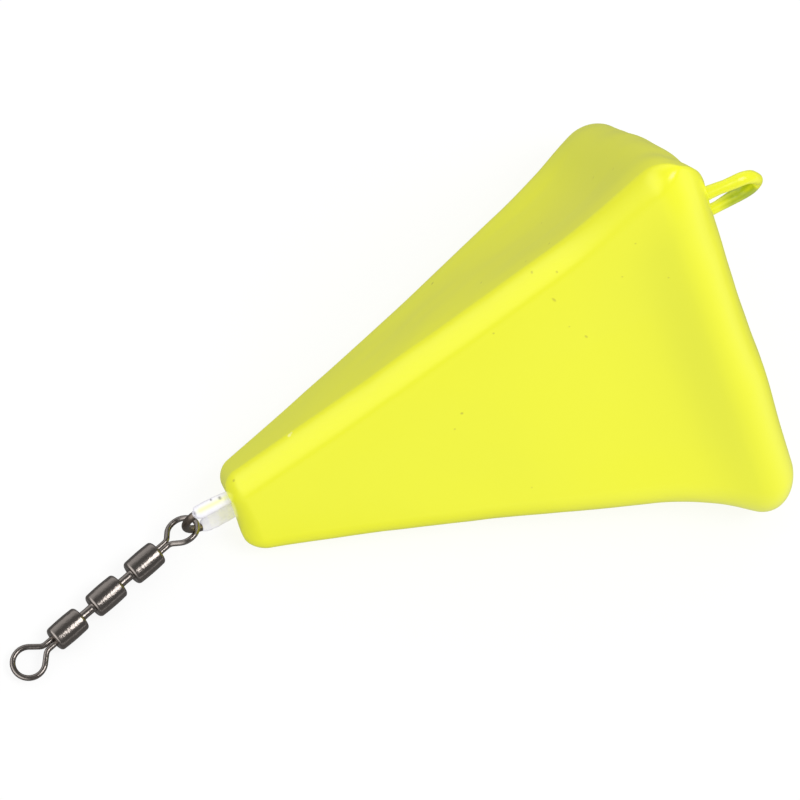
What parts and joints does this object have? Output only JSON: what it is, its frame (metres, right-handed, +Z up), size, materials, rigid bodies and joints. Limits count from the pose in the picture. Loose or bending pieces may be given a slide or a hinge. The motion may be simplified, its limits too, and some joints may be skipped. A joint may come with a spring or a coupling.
{
  "type": "fishing sinker",
  "caption": "Three-sided lead sea sinker in glossy yellow coating, with a wire tow eye and a dark rolling swivel on a front loop.",
  "frame": {"origin": "on the ground, under the middle of the whole part's bounding box", "axes": "+X from the swivel at the narrow end to the wide end, +Z up, the sinker lying on one of its long faces"},
  "size_m": [0.1015, 0.0568, 0.0549],
  "materials": {
    "lead": "dull cast lead",
    "base_coat": "white primer",
    "yellow": "fluorescent, glossy",
    "wire": "drawn wire",
    "black_nickel": "black nickel plate"
  },
  "bodies": {
    "sinker": {"lead_core": "lead", "white_base_coat": "base_coat", "yellow_coat": "yellow", "front_loop_wire": "wire", "front_loop_coat_upper": "base_coat", "front_loop_coat_lower": "base_coat", "tow_eye_wire": "wire", "tow_eye_coat": "yellow"},
    "near_eye": {"swivel_near_eye": "black_nickel"},
    "barrel_1": {"swivel_barrel_1": "black_nickel"},
    "link_pin_1": {"swivel_link_pin_1": "black_nickel"},
    "barrel_2": {"swivel_barrel_2": "black_nickel"},
    "link_pin_2": {"swivel_link_pin_2": "black_nickel"},
    "barrel_3": {"swivel_barrel_3": "black_nickel"},
    "end_eye": {"swivel_end_eye": "black_nickel"}
  },
  "joints": [
    {"name": "near_eye_swing", "type": "hinge", "parent": "sinker", "child": "near_eye", "pos_m": [-0.02426, 0.0002, 0.0036], "axis": [-0.2423, 0, 0.9702], "range_deg": [-106, 72]},
    {"name": "barrel_1_spin", "type": "hinge", "parent": "near_eye", "child": "barrel_1", "pos_m": [-0.03073, -0.00178, 0.00299], "axis": [-0.9525, -0.2912, -0.0886], "continuous": true},
    {"name": "link_pin_1_spin", "type": "hinge", "parent": "barrel_1", "child": "link_pin_1", "pos_m": [-0.03369, -0.00268, 0.00272], "axis": [-0.9525, -0.2912, -0.0886], "continuous": true},
    {"name": "barrel_2_spin", "type": "hinge", "parent": "link_pin_1", "child": "barrel_2", "pos_m": [-0.03664, -0.00359, 0.00245], "axis": [-0.9525, -0.2912, -0.0886], "continuous": true},
    {"name": "link_pin_2_spin", "type": "hinge", "parent": "barrel_2", "child": "link_pin_2", "pos_m": [-0.03959, -0.00449, 0.00217], "axis": [-0.9525, -0.2912, -0.0886], "continuous": true},
    {"name": "barrel_3_spin", "type": "hinge", "parent": "link_pin_2", "child": "barrel_3", "pos_m": [-0.04254, -0.00539, 0.00189], "axis": [-0.9525, -0.2912, -0.0886], "continuous": true},
    {"name": "end_eye_spin", "type": "hinge", "parent": "barrel_3", "child": "end_eye", "pos_m": [-0.04845, -0.0072, 0.00135], "axis": [-0.9525, -0.2912, -0.0886], "continuous": true}
  ]
}
